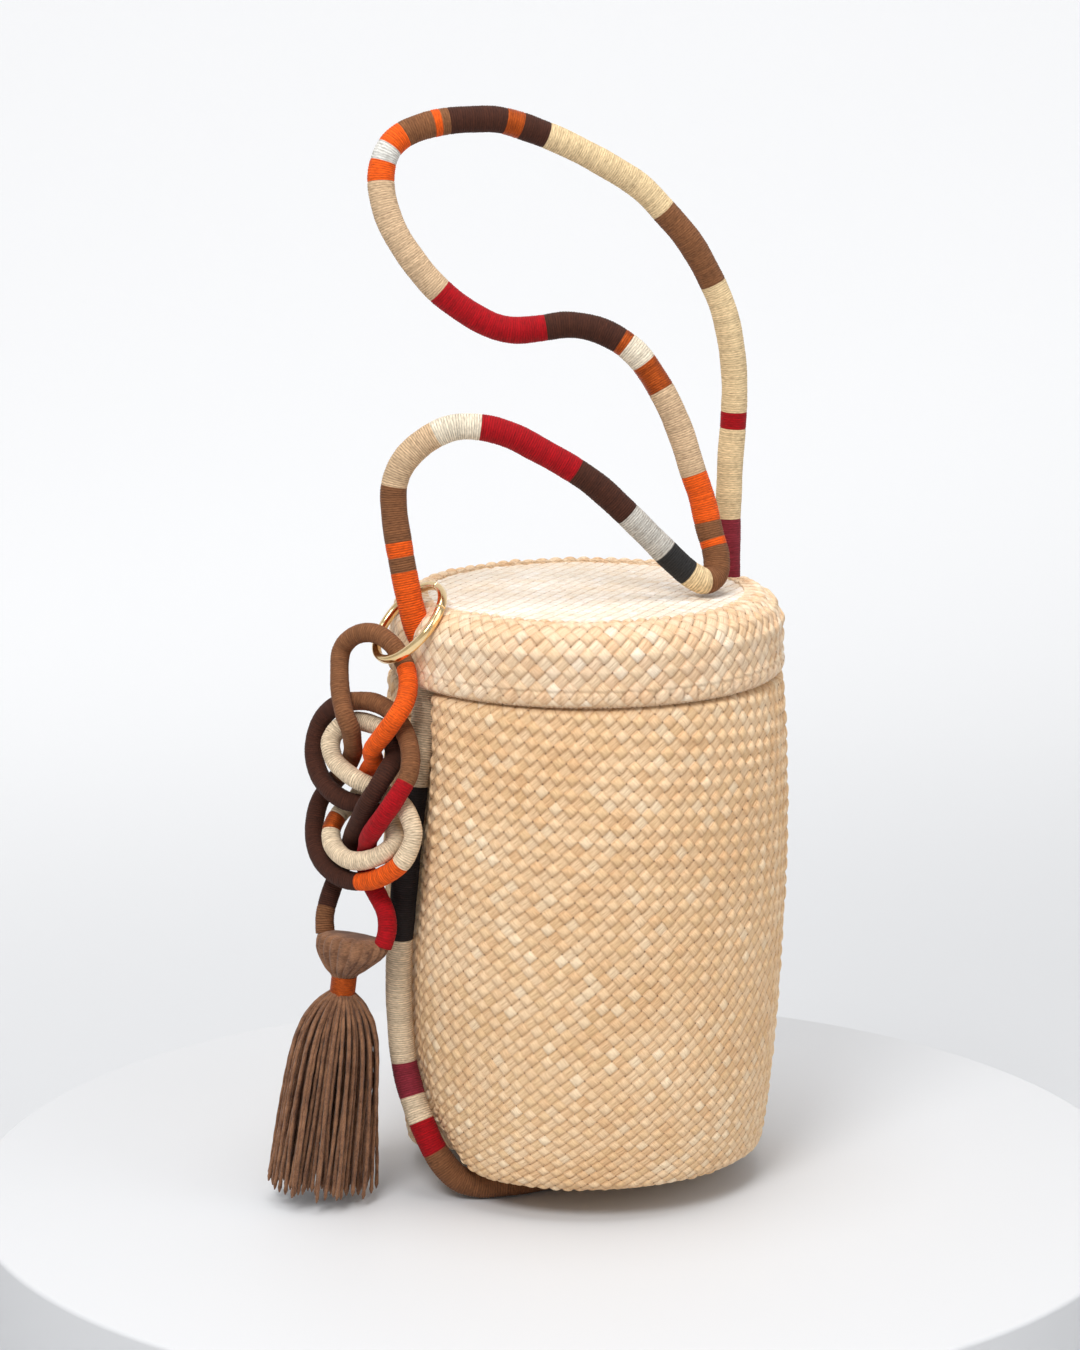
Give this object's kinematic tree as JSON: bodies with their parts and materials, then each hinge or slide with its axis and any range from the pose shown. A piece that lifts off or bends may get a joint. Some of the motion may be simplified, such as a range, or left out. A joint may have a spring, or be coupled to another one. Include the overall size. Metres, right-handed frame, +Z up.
{
  "type": "lidded straw bucket bag",
  "caption": "Woven straw bucket bag with a fitted lid, a thread-wrapped rope handle that stands in loops, and a knotted rope charm with a tassel on a split ring.",
  "frame": {"origin": "on the basket axis, at the surface that the bag stands on", "axes": "+Z up along the basket axis; the strap enters the lid near -X and near +X, and the charm hangs on the -X side"},
  "size_m": [0.2485, 0.1808, 0.4853],
  "materials": {
    "straw": "woven palm straw, natural",
    "pale_straw": "woven palm straw, bleached",
    "cotton_core": "twisted cotton rope",
    "gold": "polished gold plate",
    "tassel_yarn": "two-ply cotton yarn",
    "thread_orange": "wound cotton thread",
    "thread_tan": "wound cotton thread",
    "thread_cream": "wound cotton thread",
    "thread_red": "wound cotton thread",
    "thread_brown": "wound cotton thread",
    "thread_grey": "wound cotton thread",
    "thread_charcoal": "wound cotton thread",
    "thread_copper": "shiny metallic-look thread",
    "thread_burgundy": "wound cotton thread",
    "thread_black": "wound cotton thread"
  },
  "bodies": {
    "bag": {"basket_body": "straw", "cradle_core": "cotton_core", "cradle_winding_01_cream": "thread_cream", "cradle_winding_02_black": "thread_black", "cradle_winding_03_cream": "thread_cream", "cradle_winding_04_burgundy": "thread_burgundy", "cradle_winding_05_cream": "thread_cream", "cradle_winding_06_red": "thread_red", "cradle_winding_07_tan": "thread_tan", "cradle_winding_08_cream": "thread_cream"},
    "lid": {"lid": "pale_straw", "handle_core": "cotton_core", "handle_winding_01_orange": "thread_orange", "handle_winding_02_tan": "thread_tan", "handle_winding_03_cream": "thread_cream", "handle_winding_04_red": "thread_red", "handle_winding_05_brown": "thread_brown", "handle_winding_06_grey": "thread_grey", "handle_winding_07_charcoal": "thread_charcoal", "handle_winding_08_cream": "thread_cream", "handle_winding_09_tan": "thread_tan", "handle_winding_10_orange": "thread_orange", "handle_winding_11_cream": "thread_cream", "handle_winding_12_copper": "thread_copper", "handle_winding_13_cream": "thread_cream", "handle_winding_14_brown": "thread_brown", "handle_winding_15_red": "thread_red", "handle_winding_16_cream": "thread_cream", "handle_winding_17_orange": "thread_orange", "handle_winding_18_tan": "thread_tan", "handle_winding_19_brown": "thread_brown", "handle_winding_20_copper": "thread_copper", "handle_winding_21_brown": "thread_brown", "handle_winding_22_cream": "thread_cream", "handle_winding_23_tan": "thread_tan", "handle_winding_24_cream": "thread_cream", "handle_winding_25_red": "thread_red", "handle_winding_26_cream": "thread_cream", "handle_winding_27_burgundy": "thread_burgundy"},
    "ring": {"ring": "gold"},
    "gate": {"ring_gate": "gold"},
    "charm": {"charm_core": "cotton_core", "charm_winding_01_tan": "thread_tan", "charm_winding_02_brown": "thread_brown", "charm_winding_03_cream": "thread_cream", "charm_winding_04_orange": "thread_orange", "charm_winding_05_brown": "thread_brown", "charm_winding_06_tan": "thread_tan", "charm_winding_07_orange": "thread_orange", "charm_winding_08_cream": "thread_cream", "charm_winding_09_copper": "thread_copper", "charm_winding_10_cream": "thread_cream", "charm_winding_11_brown": "thread_brown", "charm_winding_12_tan": "thread_tan", "charm_winding_13_red": "thread_red", "tassel_head": "tassel_yarn", "tassel_binding": "thread_copper"},
    "tassel": {"tassel_skirt": "tassel_yarn"}
  },
  "joints": [
    {"name": "lid_lift", "type": "slide", "parent": "bag", "child": "lid", "axis": [0, 0, 1], "range_m": [0, 0.045]},
    {"name": "ring_swing", "type": "hinge", "parent": "lid", "child": "ring", "pos_m": [-0.07324, -0.00855, 0.27879], "axis": [-0.1094, 0.994, 0], "range_deg": [0, 30]},
    {"name": "gate_open", "type": "hinge", "parent": "ring", "child": "gate", "pos_m": [-0.07443, -0.01026, 0.27724], "axis": [0.745, 0.082, -0.662], "range_deg": [0, 20], "stiffness_Nm_per_rad": 0.02},
    {"name": "charm_swing", "type": "hinge", "parent": "ring", "child": "charm", "pos_m": [-0.09956, -0.01145, 0.24881], "axis": [0.4226, 0.9063, 0], "range_deg": [0, 40]},
    {"name": "tassel_swing", "type": "hinge", "parent": "charm", "child": "tassel", "pos_m": [-0.11859, -0.00831, 0.09558], "axis": [-0.1094, 0.994, 0], "range_deg": [0, 25]}
  ]
}
